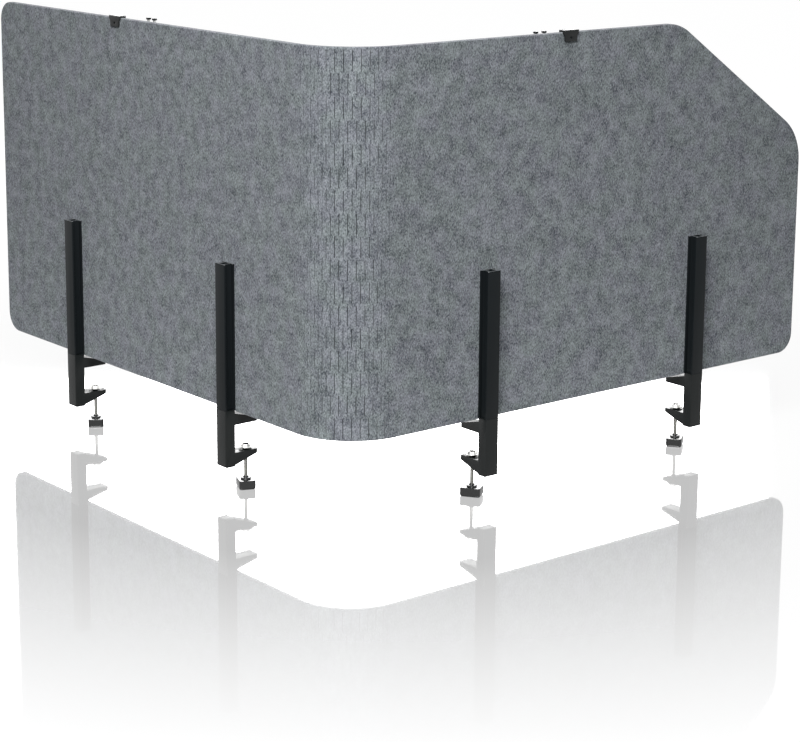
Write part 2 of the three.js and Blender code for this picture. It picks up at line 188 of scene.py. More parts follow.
def noise(tree, place, size, detail, roughness=0.5):
    """A noise pattern with lumps of about size, from 0 to 1 and mostly near its middle."""
    grain = {"Vector": place, "Scale": 1 / size, "Detail": detail, "Roughness": roughness}
    return add(tree, "ShaderNodeTexNoise", {}, grain).outputs[0]


def felt_material(name, dark_violet, dark_green, light_violet, light_green):
    material, tree = new_material(name)
    place = add(tree, "ShaderNodeTexCoord", {}, {}).outputs["Object"]
    shade = noise(tree, place, TUFT, 3.0, 0.65)
    cloud = noise(tree, place, CLOUD, 2.0)
    shade = add(tree, "ShaderNodeMath", {"operation": "MULTIPLY_ADD"}, {0: cloud, 1: CLOUD_WEIGHT, 2: shade}).outputs[0]
    for slant in STREAK_SLANTS:
        squash = {"Rotation": [math.radians(slant)] * 3, "Scale": (1, 1, STREAK_WIDTH / STREAK_LENGTH)}
        lie = add(tree, "ShaderNodeMapping", {}, {"Vector": place, **squash}).outputs[0]
        streak = noise(tree, lie, STREAK_WIDTH, 1.0)
        gain = {0: streak, 1: STREAK_WEIGHT, 2: shade}
        shade = add(tree, "ShaderNodeMath", {"operation": "MULTIPLY_ADD"}, gain).outputs[0]
    ends = {"Value": shade, "From Min": DARKEST, "From Max": LIGHTEST}
    fibre = add(tree, "ShaderNodeMapRange", {}, ends).outputs[0]
    drift = noise(tree, place, TINT_PATCH, 3.0)
    tint = add(tree, "ShaderNodeMapRange", {}, {"Value": drift, **TINT_RANGE}).outputs[0]
    shades = []
    for violet, green in ((dark_violet, dark_green), (light_violet, light_green)):
        ends = {"Factor": tint, MIX_A: linear(violet), MIX_B: linear(green)}
        shades.append(add(tree, "ShaderNodeMix", {"data_type": "RGBA"}, ends).outputs[MIX_RESULT])
    ends = {"Factor": fibre, MIX_A: shades[0], MIX_B: shades[1]}
    colour = add(tree, "ShaderNodeMix", {"data_type": "RGBA"}, ends).outputs[MIX_RESULT]
    fine = noise(tree, place, FUZZ_GRAIN, 4.0, 0.7)
    relief = add(tree, "ShaderNodeMath", {"operation": "ADD"}, {0: fine, 1: shade}).outputs[0]
    bump = {"Height": relief, "Strength": 0.35, "Distance": FUZZ_RELIEF}
    normal = add(tree, "ShaderNodeBump", {}, bump).outputs[0]
    surface = {"Base Color": colour, "Roughness": 0.95, "IOR": 1.57, "Specular IOR Level": 0.05, "Sheen Weight": 0.08,
               "Sheen Roughness": 0.6, "Normal": normal}
    shader = add(tree, "ShaderNodeBsdfPrincipled", {}, surface)
    add(tree, "ShaderNodeOutputMaterial", {}, {"Surface": shader.outputs[0]})
    return material


felt = felt_material("PET felt", FELT_DARK_VIOLET, FELT_DARK_GREEN, FELT_LIGHT_VIOLET, FELT_LIGHT_GREEN)

# %% [markdown]
# The cut edge of the sheet shows the middle of the mat. The blade melts and combs the fibre ends, so the edge is a
# little paler and warmer than the face, with the same grain.

# %% Cut edge of the felt
EDGE_SHADES = ("#62636a", "#61666a", "#a9aab0", "#a7acb0")
felt_edge = felt_material("PET felt, cut edge", *EDGE_SHADES)

# %% [markdown]
# The posts are extruded aluminium, anodised black. The dyed oxide layer gives a charcoal with a satin gloss, and the
# die leaves faint lines along the extrusion, so the gloss varies across the post and not along it. The oxide is full of
# pores, which swallow part of the light that a smooth skin would mirror. The clamps are cast and powder coated in the
# same charcoal. Powder melts into a skin with a fine orange peel, about 0.8 mm from bump to bump, so its highlights
# break up instead of running in lines. The saw leaves the posts' ends as bare grey metal round the dark chamber.

# %% Anodised aluminium and powder coat
DIE_LINE = 0.7 * MM
ORANGE_PEEL = 0.8 * MM
LONG_WAY = 0.004


def charcoal_material(name, colour, specular, grain, lengthwise, roughness_ends, bump_height):
    material, tree = new_material(name)
    place = add(tree, "ShaderNodeTexCoord", {}, {}).outputs["Object"]
    lie = add(tree, "ShaderNodeMapping", {}, {"Vector": place, "Scale": (1, 1, lengthwise)}).outputs[0]
    lines = add(tree, "ShaderNodeTexNoise", {}, {"Vector": lie, "Scale": 1 / grain, "Detail": 3.0}).outputs[0]
    ends = {"Value": lines, "From Min": 0.3, "From Max": 0.7, "To Min": roughness_ends[0], "To Max": roughness_ends[1]}
    roughness = add(tree, "ShaderNodeMapRange", {}, ends).outputs[0]
    bump = {"Height": lines, "Strength": 0.3, "Distance": bump_height}
    normal = add(tree, "ShaderNodeBump", {}, bump).outputs[0]
    surface = {"Base Color": linear(colour), "Roughness": roughness, "Normal": normal}
    surface |= {"IOR": 1.5, "Specular IOR Level": specular}
    shader = add(tree, "ShaderNodeBsdfPrincipled", {}, surface)
    add(tree, "ShaderNodeOutputMaterial", {}, {"Surface": shader.outputs[0]})
    return material


anodised = charcoal_material("anodised aluminium", "#161a1c", 0.1, DIE_LINE, LONG_WAY, (0.34, 0.46), 0.02 * MM)
powder_coat = charcoal_material("powder-coated casting", "#181b1b", 0.2, ORANGE_PEEL, 1.0, (0.2, 0.26), 0.05 * MM)

# %% [markdown]
# The knobs are moulded nylon with a polished mould, black and glossy, so the pale room shows on their tops. The clips,
# bushes and caps come from a grained mould and are duller.

# %% Moulded nylon
MOULD_GRAIN = 0.6 * MM


def nylon_material(name, colour, specular, roughness, bump_height):
    material, tree = new_material(name)
    place = add(tree, "ShaderNodeTexCoord", {}, {}).outputs["Object"]
    grain = {"Vector": place, "Scale": 1 / MOULD_GRAIN, "Detail": 2.0}
    height = add(tree, "ShaderNodeTexNoise", {}, grain).outputs[0]
    bump = {"Height": height, "Strength": 0.25, "Distance": bump_height}
    normal = add(tree, "ShaderNodeBump", {}, bump).outputs[0]
    surface = {"Base Color": linear(colour), "Roughness": roughness, "IOR": 1.53, "Normal": normal}
    surface |= {"Specular IOR Level": specular}
    shader = add(tree, "ShaderNodeBsdfPrincipled", {}, surface)
    add(tree, "ShaderNodeOutputMaterial", {}, {"Surface": shader.outputs[0]})
    return material


glossy_nylon = nylon_material("polished nylon", "#101212", 0.5, 0.16, 0.004 * MM)
grained_nylon = nylon_material("grained nylon", "#191b1b", 0.2, 0.42, 0.05 * MM)

# %% [markdown]
# The pads and prongs have a bright zinc plating, and the clamp screws a duller one, because a rolled thread is rougher
# under its plate and holds some oil. Zinc is a metal, so its colour is in the reflection. Passivation leaves it
# slightly uneven, bluish here and yellowish there, in patches of a few millimetres. A metal's specular tint is the
# colour that its reflection takes at a grazing angle, and the rods have a grey one. The same function gives the sawn
# ends of the posts, and the black-oxide steel of the fixing screws, which keeps a dull metallic shine. That dark steel
# also lines the hollow in each pad's crown as painted shade.

# %% Zinc plate, sawn aluminium and black oxide
PLATING_PATCH = 4 * MM


def metal_material(name, cool, warm, edge, roughness):
    material, tree = new_material(name)
    place = add(tree, "ShaderNodeTexCoord", {}, {}).outputs["Object"]
    cloud = {"Vector": place, "Scale": 1 / PLATING_PATCH, "Detail": 3.0}
    patch = add(tree, "ShaderNodeTexNoise", {}, cloud).outputs[0]
    ends = {"Factor": patch, MIX_A: linear(cool), MIX_B: linear(warm)}
    colour = add(tree, "ShaderNodeMix", {"data_type": "RGBA"}, ends).outputs[MIX_RESULT]
    surface = {"Base Color": colour, "Metallic": 1.0, "Roughness": roughness, "Specular Tint": linear(edge)}
    shader = add(tree, "ShaderNodeBsdfPrincipled", {}, surface)
    add(tree, "ShaderNodeOutputMaterial", {}, {"Surface": shader.outputs[0]})
    return material


bright_zinc = metal_material("bright zinc-plated steel", "#eef0f0", "#f2f0ea", "#ffffff", 0.42)
dull_zinc = metal_material("zinc-plated rod", "#7d807f", "#8b887f", "#6a6b69", 0.4)
sawn_aluminium = metal_material("sawn aluminium", "#b6babc", "#bfc0c0", "#ffffff", 0.4)
# The black oxide is the fixing screws' own finish, and it is also painted shade in the hollows of the pads.
black_oxide_and_hollow_shade = metal_material("black-oxide steel, also painted hollow shade", "#2c2e30", "#353331", "#ffffff", 0.38)

# %% [markdown]
# Each new piece stands for a node of the imported model and rides on the body that the node belongs to. One function
# does all of it, so that no piece can forget a part.
# Edges sharper than 30 degrees stay crisp, and everything else is shaded as one smooth surface.

# %% Placing a piece
CRISP = math.radians(30)


def add_piece(name, mesh, materials, node, smooth=True):
    for material in materials:
        mesh.materials.append(material)
    if smooth:
        mesh.shade_smooth()
        mesh.set_sharp_from_angle(angle=CRISP)
    piece = bpy.data.objects.new(name, mesh)
    bpy.context.scene.collection.objects.link(piece)
    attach(piece, frame["nodes"][node]["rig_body"])
    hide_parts(node)
    return piece


def mesh_from(name, points, faces):
    """A closed mesh with its faces turned outwards."""
    work = bmesh.new()
    corners = [work.verts.new(point) for point in points]
    for face in faces:
        work.faces.new([corners[i] for i in face])
    bmesh.ops.recalc_face_normals(work, faces=work.faces)
    mesh = bpy.data.meshes.new(name)
    work.to_mesh(mesh)
    work.free()
    return mesh


def arc_round(before, corner, after, radius, steps, inset=0.0):
    """The points that round one corner of a path. A positive inset moves the path to its left, inside an outline."""
    along, onward = (corner - before).normalized(), (after - corner).normalized()
    turn = math.atan2(along.x * onward.y - along.y * onward.x, along.dot(onward))
    side = math.copysign(1, turn)
    left, next_left = Vector((-along.y, along.x)), Vector((-onward.y, onward.x))
    centre = corner + side * (left + next_left) * radius / (1 + left.dot(next_left))
    arm = -side * left * (radius - side * inset)
    return [centre + Matrix.Rotation(turn * i / steps, 2) @ arm for i in range(steps + 1)]


# %% [markdown]
# The felt is drawn flat and then bent. Flat, a place on it is s along the outer face, z up, and a depth into the sheet.
# The bend takes a quarter turn of s round the corner, and the wings run straight on from it. Working in s keeps the
# slits and the strips regular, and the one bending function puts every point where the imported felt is.

# %% Bending the felt
PANEL_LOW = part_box("felt_panel_right")[0].z
PANEL_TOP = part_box("felt_panel_right")[1].z
FELT_THICKNESS = 10 * MM
BEND_RADIUS = 108 * MM
BEND_LEAD = 12.2 * MM
FOLD_COUNT = 12
BEND_LENGTH = BEND_RADIUS * math.pi / 2
COLUMN_PITCH = (BEND_LENGTH - 2 * BEND_LEAD) / (FOLD_COUNT - 1)


def bent(s, z, depth):
    """A place on the felt, in the frame: s is 0 where the right wing ends and BEND_LENGTH where the left begins."""
    along = min(max(s, 0), BEND_LENGTH)
    angle = along / BEND_RADIUS
    radius = BEND_RADIUS - depth
    straight = s - along
    x = BEND_RADIUS - radius * math.sin(angle) - straight * math.cos(angle)
    y = BEND_RADIUS - radius * math.cos(angle) + straight * math.sin(angle)
    return OUTER_CORNER + Vector((x, y, z))


print("bend", round(BEND_LENGTH / MM, 1), "mm long, columns", round(COLUMN_PITCH / MM, 2), "mm apart")

# %% [markdown]
# The slits let stiff felt turn a corner, like the kerfs in bent plywood. They are staggered: one row has its slits on
# the fold lines, the next has them half way between. They are cut deep but not right through. A slit is real geometry
# here, because its dark gap comes from depth and would look painted on otherwise.

# %% Slit pattern
SLIT_ROWS = 17
SLIT_WIDTH = 1.0 * MM
SLIT_DEPTH = 8.5 * MM
SLIT_BRIDGE = 2.5 * MM
SLIT_EDGE = 4 * MM
ROW_PITCH = (PANEL_TOP - PANEL_LOW - 2 * SLIT_EDGE + SLIT_BRIDGE) / SLIT_ROWS
SLIT_LENGTH = ROW_PITCH - SLIT_BRIDGE
FIRST_SLIT_TOP = PANEL_TOP - SLIT_EDGE


def in_slit(s, z):
    """Whether a place lies in a slit. Lines are counted in half columns, the even ones being the fold lines."""
    line = round(2 * (s - BEND_LEAD) / COLUMN_PITCH)
    off_line = abs(s - BEND_LEAD - line * COLUMN_PITCH / 2)
    row = math.floor((FIRST_SLIT_TOP - z) / ROW_PITCH)
    below_top = FIRST_SLIT_TOP - z - row * ROW_PITCH
    on_pattern = 0 <= line <= 2 * (FOLD_COUNT - 1) and 0 <= row < SLIT_ROWS
    return on_pattern and off_line < SLIT_WIDTH / 2 and below_top < SLIT_LENGTH and (line + row) % 2 == 1


# %% [markdown]
# The free edges of the sheet are slightly round, because the felt is soft there. A ring of the edge has an inset from
# the outline and a depth below the face, and both come from a quarter circle. The same rings serve the straight edges
# of the bend and the round corners of the wings, so that the two meet point for point.

# %% Rounded edge of the sheet
EDGE_ROUND = 1.3 * MM
EDGE_STEPS = 4
CORNER_STEPS = 12
EDGE_RINGS = []
for step in range(EDGE_STEPS + 1):
    lean = math.radians(90) * step / EDGE_STEPS
    EDGE_RINGS.append((EDGE_ROUND * (1 - math.sin(lean)), EDGE_ROUND * (1 - math.cos(lean))))


def levels_up():
    """The heights that the bend's cells start and end at: the rounded edges, and each slit's foot and top."""
    levels = []
    for inset, depth in EDGE_RINGS:
        levels += [(PANEL_LOW + inset, depth), (PANEL_TOP - inset, depth)]
    for row in range(SLIT_ROWS):
        top = FIRST_SLIT_TOP - row * ROW_PITCH
        levels += [(top - SLIT_LENGTH, 0.0), (top, 0.0)]
    return sorted(levels)


LEVELS = levels_up()
print(len(LEVELS), "levels,", round(SLIT_LENGTH / MM, 1), "mm slits")

# %% [markdown]
# The bend is a grid of cells. A cell in a slit has its floor deep in the sheet, and a wall joins it to its neighbour.
# Building it from cells gives a closed surface with no boolean cuts, and each of the eleven strips between fold lines
# becomes its own piece, because each one turns on its own fold. A hairline of 0.04 mm between neighbours, far too thin
# to see, keeps them from rubbing as they turn.

# %% Felt as cells
FACE, CUT = 0, 1


class FeltSheet:
    """Collects faces in s, z and depth, sharing their points, and bends them into a mesh."""

    def __init__(self):
        self.found, self.points, self.faces, self.kinds = {}, [], [], []

    def point(self, place):
        key = tuple(round(x / MM, 4) for x in place)
        if key not in self.found:
            self.found[key] = len(self.points)
            self.points.append(bent(*place))
        return self.found[key]

    def face(self, places, kind):
        self.faces.append([self.point(place) for place in places])
        self.kinds.append(kind)

    def wall(self, start, end, tops, foots, kind):
        """A wall between two places (s, z), from their depths tops down to foots."""
        self.face([(*start, tops[0]), (*end, tops[1]), (*end, foots[1]), (*start, foots[0])], kind)

    def outer_wall(self, start, end, rims, kind, slit=False):
        """A wall right through the sheet, with a seam at the slits' depth. In a slit only its lower part is left."""
        floors = (SLIT_DEPTH, SLIT_DEPTH)
        if not slit:
            self.wall(start, end, rims, floors, kind)
        self.wall(start, end, floors, [FELT_THICKNESS - rim for rim in rims], kind)

    def mesh(self, name):
        mesh = mesh_from(name, self.points, self.faces)
        mesh.polygons.foreach_set("material_index", self.kinds)
        return mesh


def felt_cells(sheet, columns, walled):
    """The sheet between the first and the last of columns, walled at the ends that it names."""
    spans = list(zip(columns, columns[1:]))
    steps = list(zip(LEVELS, LEVELS[1:]))
    slits = [[in_slit((a + b) / 2, (low[0] + high[0]) / 2) for low, high in steps] for a, b in spans]
    for i, (a, b) in enumerate(spans):
        for j, ((low, low_rim), (high, high_rim)) in enumerate(steps):
            depths = (SLIT_DEPTH, SLIT_DEPTH) if slits[i][j] else (low_rim, high_rim)
            sheet.face([(a, low, depths[0]), (b, low, depths[0]), (b, high, depths[1]), (a, high, depths[1])], FACE)
            back = [FELT_THICKNESS - low_rim, FELT_THICKNESS - high_rim]
            sheet.face([(a, low, back[0]), (b, low, back[0]), (b, high, back[1]), (a, high, back[1])], FACE)
            if i and slits[i - 1][j] != slits[i][j]:
                sheet.wall((a, low), (a, high), (0, 0), (SLIT_DEPTH, SLIT_DEPTH), FACE)
            if j and slits[i][j - 1] != slits[i][j]:
                sheet.wall((a, low), (b, low), (0, 0), (SLIT_DEPTH, SLIT_DEPTH), FACE)
            for end, at, edge in (("low", 0, a), ("high", len(spans) - 1, b)):
                if end in walled and i == at:
                    sheet.outer_wall((edge, low), (edge, high), (low_rim, high_rim), FACE, slits[i][j])
        for level, rim in (LEVELS[0], LEVELS[-1]):
            sheet.outer_wall((a, level), (b, level), (rim, rim), CUT)


# %% Strips of the bend
SPAN_STEPS = 3
HAIRLINE = 0.02 * MM


def fold_line(i):
    return BEND_LEAD + i * COLUMN_PITCH


def spread(start, end, steps):
    return [start + (end - start) * i / steps for i in range(steps + 1)]


def strip_columns(low, high):
    """Columns across one strip: each slit's two edges, and a few more between them for a round bend."""
    half, middle = SLIT_WIDTH / 2, (low + high) / 2
    near = spread(low + half, middle - half, SPAN_STEPS)
    far = spread(middle + half, high - half, SPAN_STEPS)
    return [low + HAIRLINE, *near, *far, high - HAIRLINE]


for i in range(FOLD_COUNT - 1):
    name = f"felt_bend_strip_{i + 1:02d}"
    sheet = FeltSheet()
    felt_cells(sheet, strip_columns(fold_line(i), fold_line(i + 1)), ("low", "high"))
    add_piece(f"{name}_felt", sheet.mesh(name), [felt, felt_edge], name)
print(len(sheet.faces), "faces in a strip")

# %% [markdown]
# A wing is its own start of the bend, made of the same cells, and a flat plate. The plate's outline is a path with
# rounded corners. Insetting that path gives the rings of the rounded edge, and one large face closes each side. The
# right wing's top corner is cut to a slope with two wide curves, and its other corners have a small radius.

# %% Wings
WING_CORNER = 33 * MM
SLOPE_CORNER = 90 * MM
SLOPE_RUN = 310 * MM
SLOPE_DROP = 210 * MM
RIGHT_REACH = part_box("felt_panel_right")[1].x - OUTER_CORNER.x - BEND_RADIUS
LEFT_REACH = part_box("felt_panel_left")[1].y - OUTER_CORNER.y - BEND_RADIUS
TOP_CORNERS = {
    "right": [(RIGHT_REACH, PANEL_TOP - SLOPE_DROP, SLOPE_CORNER), (RIGHT_REACH - SLOPE_RUN, PANEL_TOP, SLOPE_CORNER)],
    "left": [(LEFT_REACH, PANEL_TOP, WING_CORNER)],
}


def plate_path(wing, inset):
    """The plate's outline from the bend along the bottom, up its end and back along the top, moved in by inset."""
    reach = TOP_CORNERS[wing][0][0]
    corners = [(0, PANEL_LOW, 0), (reach, PANEL_LOW, WING_CORNER), *TOP_CORNERS[wing], (0, PANEL_TOP, 0)]
    path = [Vector((0, PANEL_LOW + inset))]
    for before, (x, z, radius), after in zip(corners, corners[1:], corners[2:]):
        path += arc_round(Vector(before[:2]), Vector((x, z)), Vector(after[:2]), radius, CORNER_STEPS, inset)
    return [*path, Vector((0, PANEL_TOP - inset))]


def felt_plate(sheet, wing):
    way = {"right": lambda along: -along, "left": lambda along: BEND_LENGTH + along}[wing]
    front = [(inset, depth) for inset, depth in EDGE_RINGS]
    back = [(inset, FELT_THICKNESS - depth) for inset, depth in reversed(EDGE_RINGS)]
    rings = []
    for inset, depth in [*front, (0.0, SLIT_DEPTH), *back]:
        rings.append([(way(point.x), point.y, depth) for point in plate_path(wing, inset)])
    for ring, following in zip(rings, rings[1:]):
        for a, b, c, d in zip(ring, ring[1:], following[1:], following):
            sheet.face([a, b, c, d], CUT)
    seam = [level for level, rim in LEVELS[EDGE_STEPS + 1:-EDGE_STEPS - 1]]
    for ring in (rings[0], rings[-1]):
        sheet.face([*ring, *[(way(0), level, ring[0][2]) for level in reversed(seam)]], FACE)


FIRST_FOLD, LAST_FOLD = fold_line(0), fold_line(FOLD_COUNT - 1)
START_COLUMNS = {
    "right": [*spread(0, FIRST_FOLD - SLIT_WIDTH / 2, SPAN_STEPS), FIRST_FOLD - HAIRLINE],
    "left": [LAST_FOLD + HAIRLINE, *spread(LAST_FOLD + SLIT_WIDTH / 2, BEND_LENGTH, SPAN_STEPS)],
}
for wing, walled in (("right", "high"), ("left", "low")):
    sheet = FeltSheet()
    felt_cells(sheet, START_COLUMNS[wing], (walled,))
    felt_plate(sheet, wing)
    mesh = sheet.mesh(f"felt_panel_{wing}")
    panel = add_piece(f"felt_panel_{wing}_felt", mesh, [felt, felt_edge], f"felt_panel_{wing}")
    for face in mesh.polygons:
        face.use_smooth = len(face.vertices) <= 4
    print(wing, "wing", len(mesh.polygons), "faces")

# %% [markdown]
# The posts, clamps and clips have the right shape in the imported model, but its edges are knife sharp, and real edges
# never are: the die, the mould and the coating all leave a small radius that catches the light. The quickest honest
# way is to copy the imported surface, join its flat triangles into whole faces, and bevel every edge by that radius.

# %% Softened copies
POST_EDGE = 0.3 * MM
CLAMP_EDGE = 0.9 * MM
CLIP_EDGE = 0.5 * MM
MERGE = 0.01 * MM
FLAT = math.radians(1)
SHARP_EDGE = math.radians(35)
EDGE_SEGMENTS = 3


def softened(node, radius, material):
    """A copy of a node's surface with every sharp edge rounded by radius."""
    mesh = frame["nodes"][node].data.copy()
    mesh.materials.clear()
    work = bmesh.new()
    work.from_mesh(mesh)
    bmesh.ops.remove_doubles(work, verts=work.verts, dist=MERGE)
    bmesh.ops.dissolve_limit(work, angle_limit=FLAT, verts=work.verts, edges=work.edges)
    work.to_mesh(mesh)
    work.free()
    piece = add_piece(f"{node}_finished", mesh, [material], node, smooth=False)
    mesh.shade_smooth()
    bevel = piece.modifiers.new("edge radius", "BEVEL")
    bevel.width, bevel.segments, bevel.limit_method, bevel.angle_limit = radius, EDGE_SEGMENTS, "ANGLE", SHARP_EDGE
    bevel.harden_normals = True
    return piece


STATIONS = ("left_outer", "left_inner", "right_inner", "right_outer")
UPRIGHT = 0.99

for name in STATIONS:
    post = softened(f"post_{name}", POST_EDGE, anodised)
    post.data.materials.append(sawn_aluminium)
    for face in post.data.polygons:
        face.material_index = int(abs(face.normal.z) > UPRIGHT)
    softened(f"clamp_{name}", CLAMP_EDGE, powder_coat)
for wing in ("left", "right"):
    softened(f"hook_clip_{wing}", CLIP_EDGE, grained_nylon)

# %% [markdown]
# Turned pieces are drawn as half a section: points of radius and height, which are spun about the axis. Rounding the
# corners of that section is what makes a turned part look machined or moulded.

# %% Turned pieces
TURN_STEPS = 48
EASE_SHARE = 0.45


def spun(profile, place, steps=TURN_STEPS):
    """Points and faces of a section spun about a vertical axis at place. A section off the axis closes on itself."""
    points, faces, rings = [], [], []
    for radius, height in profile:
        count = steps if radius > 0 else 1
        rings.append([len(points) + i % count for i in range(steps)])
        for i in range(count):
            angle = 2 * math.pi * i / steps
            points.append(place + Vector((radius * math.cos(angle), radius * math.sin(angle), height)))
    follow = rings[1:] + ([rings[0]] if profile[0][0] > 0 else [])
    for ring, following in zip(rings, follow):
        for i in range(steps):
            corners = [ring[i], ring[(i + 1) % steps], following[(i + 1) % steps], following[i]]
            faces.append(list(dict.fromkeys(corners)))
    return points, faces


def eased(section, radius, steps=3):
    """A section whose inner corners are rounded by radius, or by less on a short stretch."""
    path = [Vector(point) for point in section]
    points = [path[0]]
    for before, corner, after in zip(path, path[1:], path[2:]):
        room = min((corner - before).length, (after - corner).length) * EASE_SHARE
        points += arc_round(before, corner, after, min(radius, room), steps)
    return [(point.x, point.y) for point in [*points, path[-1]]]


# %% [markdown]
# The clamp screw is a plain M6 stud with a 1 mm pitch. The thread is a helix, and winding it by hand is only a matter
# of letting the radius follow the height and the angle together. It is rolled, not cut, so its crests are broad and
# bright and only a narrow root lies between them. It is drawn shallower than a real one, because from afar it reads as
# a smooth rod whose roots just break up the light.

# %% Clamp screws
SCREW_RADIUS = 3 * MM
THREAD_PITCH = 1.0 * MM
THREAD_DEPTH = 0.18 * MM
THREAD_CREST = 0.6
THREAD_SIDES = 16
THREAD_LEVELS = 5
SCREW_CHAMFER = 0.8 * MM


def thread_radius(height, angle, low, high):
    """The stud's radius at a height and angle, drawn in at both ends for the chamfer."""
    phase = (height / THREAD_PITCH - angle / (2 * math.pi)) % 1
    root = max(0.0, (abs(2 * phase - 1) - THREAD_CREST) / (1 - THREAD_CREST))
    end = min(height - low, high - height)
    return SCREW_RADIUS - THREAD_DEPTH * root - max(0.0, SCREW_CHAMFER - end)


def stud_mesh(name, axis, low, high):
    steps = round((high - low) / THREAD_PITCH * THREAD_LEVELS)
    points, faces = [], []
    for height in spread(low, high, steps):
        for i in range(THREAD_SIDES):
            angle = 2 * math.pi * i / THREAD_SIDES
            radius = thread_radius(height, angle, low, high)
            points.append(Vector((axis.x + radius * math.cos(angle), axis.y + radius * math.sin(angle), height)))
    for step in range(steps):
        for i in range(THREAD_SIDES):
            a, b = step * THREAD_SIDES + i, step * THREAD_SIDES + (i + 1) % THREAD_SIDES
            faces.append([a, b, b + THREAD_SIDES, a + THREAD_SIDES])
    faces += [list(range(THREAD_SIDES)), list(range(steps * THREAD_SIDES, (steps + 1) * THREAD_SIDES))]
    return mesh_from(name, points, faces)


for name in STATIONS:
    low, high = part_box(f"clamp_screw_{name}")
    mesh = stud_mesh(f"clamp_screw_{name}", (low + high) / 2, low.z, high.z)
    add_piece(f"clamp_screw_{name}_threaded", mesh, [dull_zinc], f"clamp_screw_{name}")
print(len(mesh.polygons), "faces in a stud")

# %% [markdown]
# The pad is a pressed steel cap on the stud's end: a thin brim, a crown that rises inside it, and a hollow in the
# crown's top. The hollow's walls and floor are drawn in dark black-oxide steel, which is painted shade standing in for
# the shadow in the hollow. The bush below it is a moulded flange and sleeve. Both are half sections with their corners
# rounded.

# %% Pads and bushes
PAD_BRIM = 1.4 * MM
CROWN_FOOT_RADIUS = 9 * MM
CROWN_RADIUS = 6.7 * MM
CROWN_WALL = 1.2 * MM
PAD_FLOOR = 2.4 * MM
PAD_SOCKET_DEPTH = 1.2 * MM
SOCKET_RADIUS = 3.3 * MM
BUSH_FLANGE_RADIUS = 5.5 * MM
BUSH_SLEEVE_RADIUS = 4.5 * MM
BUSH_FLANGE_HEIGHT = 1.8 * MM
TURNED_EASE = 0.5 * MM
# Faces of the hollow above this height get the painted shade.
HOLLOW_SHADE_HEIGHT = PAD_FLOOR * 0.9

for name in STATIONS:
    low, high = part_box(f"pressure_pad_{name}")
    height, rim = high.z - low.z, (high.x - low.x) / 2
    section = [(0, PAD_SOCKET_DEPTH), (SOCKET_RADIUS, PAD_SOCKET_DEPTH), (SOCKET_RADIUS, 0), (rim, 0), (rim, PAD_BRIM),
               (CROWN_FOOT_RADIUS, PAD_BRIM), (CROWN_RADIUS, height), (CROWN_RADIUS - CROWN_WALL, height),
               (CROWN_RADIUS - CROWN_WALL, PAD_FLOOR), (0, PAD_FLOOR)]
    place = Vector(((low.x + high.x) / 2, (low.y + high.y) / 2, low.z))
    mesh = mesh_from(f"pressure_pad_{name}", *spun(eased(section, TURNED_EASE), place))
    add_piece(f"pressure_pad_{name}_pressed", mesh, [bright_zinc, black_oxide_and_hollow_shade], f"pressure_pad_{name}")
    # Faces in the crown's hollow take the second, dark material: painted shade.
    for face in mesh.polygons:
        off = (face.center - place) * Vector((1, 1, 0))
        in_painted_shade = off.length < CROWN_RADIUS - CROWN_WALL and face.center.z > place.z + HOLLOW_SHADE_HEIGHT
        face.material_index = int(in_painted_shade)

    low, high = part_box(f"bush_{name}")
    height = high.z - low.z
    sleeve = height - BUSH_FLANGE_HEIGHT
    section = [(SOCKET_RADIUS, height / 2), (SOCKET_RADIUS, 0), (BUSH_SLEEVE_RADIUS, 0), (BUSH_SLEEVE_RADIUS, sleeve),
               (BUSH_FLANGE_RADIUS, sleeve), (BUSH_FLANGE_RADIUS, height), (SOCKET_RADIUS, height),
               (SOCKET_RADIUS, height / 2)]
    place = Vector(((low.x + high.x) / 2, (low.y + high.y) / 2, low.z))
    mesh = mesh_from(f"bush_{name}", *spun(eased(section, TURNED_EASE)[:-1], place))
    add_piece(f"bush_{name}_moulded", mesh, [grained_nylon], f"bush_{name}")

# %% [markdown]
# The knob is a block, well rounded below, with a hub and a collar round the screw. All of it is one stack of rings
# with the same number of points: a rounded rectangle that swells and shrinks for the eased edges, then circles for the
# hub, the collar and the hole for the screw. A stack like this stays one clean skin where the square part turns into
# the round.

# %% Knobs
KNOB_LENGTH = 34 * MM
KNOB_WIDTH = 27.5 * MM
KNOB_HEIGHT = 15 * MM
KNOB_CORNER = 4.5 * MM
KNOB_EDGE = 1.4 * MM
KNOB_FOOT_EDGE = 3.2 * MM
KNOB_FLOOR = 4 * MM
HUB_RADIUS = 8.5 * MM
HUB_HEIGHT = 3 * MM
COLLAR_RADIUS = 4.4 * MM
COLLAR_HEIGHT = 1.8 * MM
SMALL_EASE = 0.5 * MM
KNOB_TURNS = {"left_outer": -32.6, "left_inner": -22.6, "right_inner": -56.6, "right_outer": 36}
WING_TURNS = {"left": -90, "right": 0}
KNOB_CORNER_STEPS = 11
KNOB_EDGE_STEPS = 5


def block_ring(inset, height):
    """The knob's outline moved in by inset, as points at one height."""
    x, y = KNOB_LENGTH / 2, KNOB_WIDTH / 2
    corners = [Vector(corner) for corner in ((x, -y), (x, y), (-x, y), (-x, -y))]
    ring = []
    for i, corner in enumerate(corners):
        before, after = corners[i - 1], corners[(i + 1) % 4]
        ring += arc_round(before, corner, after, KNOB_CORNER, KNOB_CORNER_STEPS, inset)
    return [(point.x, point.y, height) for point in ring]


def round_ring(radius, height):
    count = 4 * (KNOB_CORNER_STEPS + 1)
    angles = [math.radians(-90) + 2 * math.pi * (i + 0.5) / count for i in range(count)]
    return [(radius * math.cos(angle), radius * math.sin(angle), height) for angle in angles]


